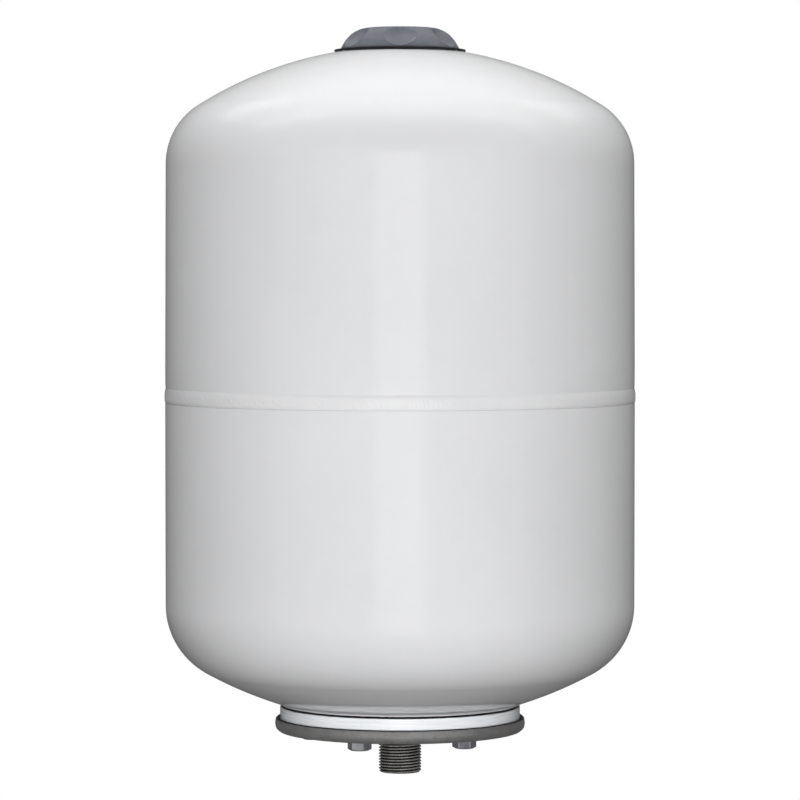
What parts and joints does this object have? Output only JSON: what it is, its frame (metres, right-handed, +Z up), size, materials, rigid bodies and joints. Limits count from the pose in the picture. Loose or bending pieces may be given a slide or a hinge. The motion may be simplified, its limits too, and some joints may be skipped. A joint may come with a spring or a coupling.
{
  "type": "expansion vessel",
  "caption": "Upright welded steel expansion vessel with a rubber membrane, bolted counterflange, threaded water connector below and a screw cap over the charging valve on top.",
  "frame": {"origin": "centre of the water connector's lower end face, on the vessel's axis", "axes": "+Z up along the vessel's axis from the water connector to the valve cap, -Y is the front, +X to the right seen from the front"},
  "size_m": [0.2909, 0.291, 0.46],
  "materials": {
    "body_paint": "glossy white stoved enamel with a faint orange peel",
    "zinc_plate": "dull zinc plate",
    "connector_steel": "dark machined steel thread",
    "bolt_zinc": "bright zinc plate",
    "bare_weld": "bare weld metal",
    "membrane_rubber": "matt moulded rubber",
    "seal_rubber": "matt black rubber",
    "cap_plastic": "satin dark grey moulded plastic",
    "valve_brass": "turned brass",
    "spring_steel": "drawn wire",
    "fibre_washer": "pressed fibre"
  },
  "bodies": {
    "vessel": {"upper_shell": "body_paint", "lower_shell": "body_paint", "girth_weld": "body_paint", "neck_ring": "body_paint", "neck_weld": "bare_weld", "bladder": "membrane_rubber", "counterflange": "zinc_plate", "water_connector": "connector_steel", "connector_weld": "bare_weld", "valve_boss": "body_paint", "valve_boss_weld": "body_paint", "stem_washer": "fibre_washer", "valve_stem": "valve_brass", "valve_core": "valve_brass", "pin_spring": "spring_steel", "flange_bolt_1": "bolt_zinc", "flange_bolt_2": "bolt_zinc", "flange_bolt_3": "bolt_zinc", "flange_bolt_4": "bolt_zinc", "flange_bolt_5": "bolt_zinc"},
    "cap_carrier": {"cap_gasket": "seal_rubber"},
    "cap": {"valve_cap": "cap_plastic"},
    "pin": {"valve_pin": "valve_brass", "pin_seal": "seal_rubber"}
  },
  "joints": [
    {"name": "cap_lift", "type": "slide", "parent": "vessel", "child": "cap_carrier", "axis": [0, 0, 1], "range_m": [0, 0.0045]},
    {"name": "cap_turn", "type": "hinge", "parent": "cap_carrier", "child": "cap", "pos_m": [0, 0, 0.4469], "axis": [0, 0, 1], "range_deg": [0, 1080]},
    {"name": "pin_press", "type": "slide", "parent": "vessel", "child": "pin", "axis": [0, 0, -1], "range_m": [0, 0.0012], "stiffness_N_per_m": 1200, "springref_m": -0.001, "deforming": ["pin_spring"]}
  ],
  "couplings": [
    {"joint": "cap_lift", "follows": "cap_turn", "m_per_rad": 0.00023873}
  ]
}
